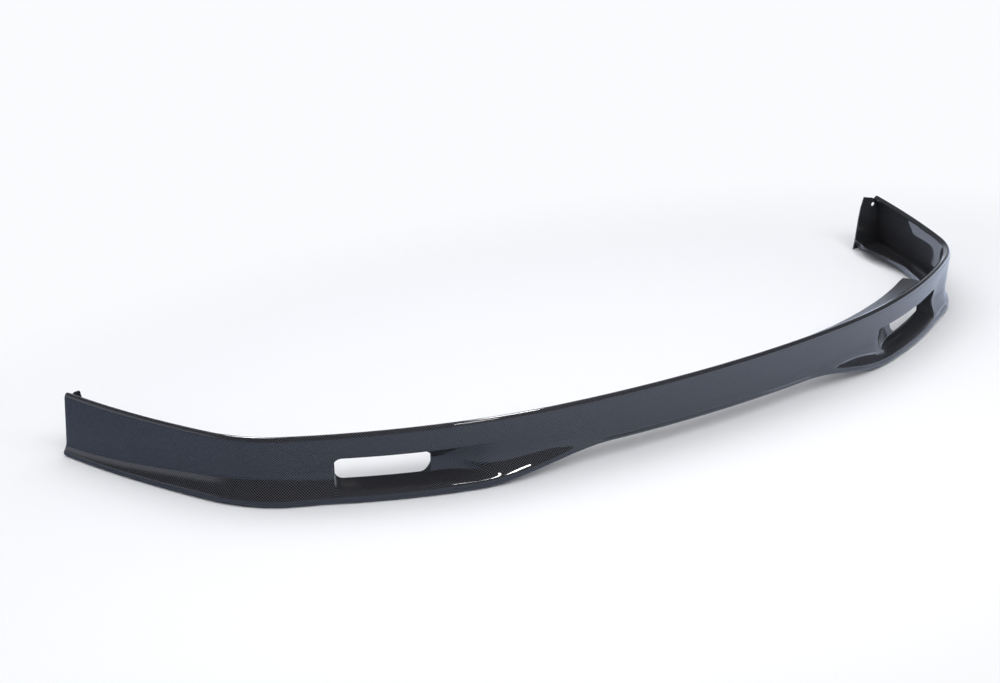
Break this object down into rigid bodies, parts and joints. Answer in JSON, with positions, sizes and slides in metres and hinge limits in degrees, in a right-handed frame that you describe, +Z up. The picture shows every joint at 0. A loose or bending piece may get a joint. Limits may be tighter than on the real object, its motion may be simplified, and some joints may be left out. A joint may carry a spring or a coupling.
{
  "type": "front splitter lip",
  "caption": "One-piece carbon fibre front lip that wraps round a bumper, with a duct near each corner, a raised middle, a top mounting flange and closed wing ends.",
  "frame": {"origin": "on the ground under the middle of the part's box: on the centre line, half way from front to back", "axes": "+X across the car, +Y to the rear of the car, +Z up"},
  "size_m": [1.6666, 0.5104, 0.1103],
  "materials": {
    "carbon": "plain-weave carbon fibre laminate under a clear, highly glossy lacquer"
  },
  "bodies": {
    "root": {"lip": "carbon"}
  },
  "joints": []
}
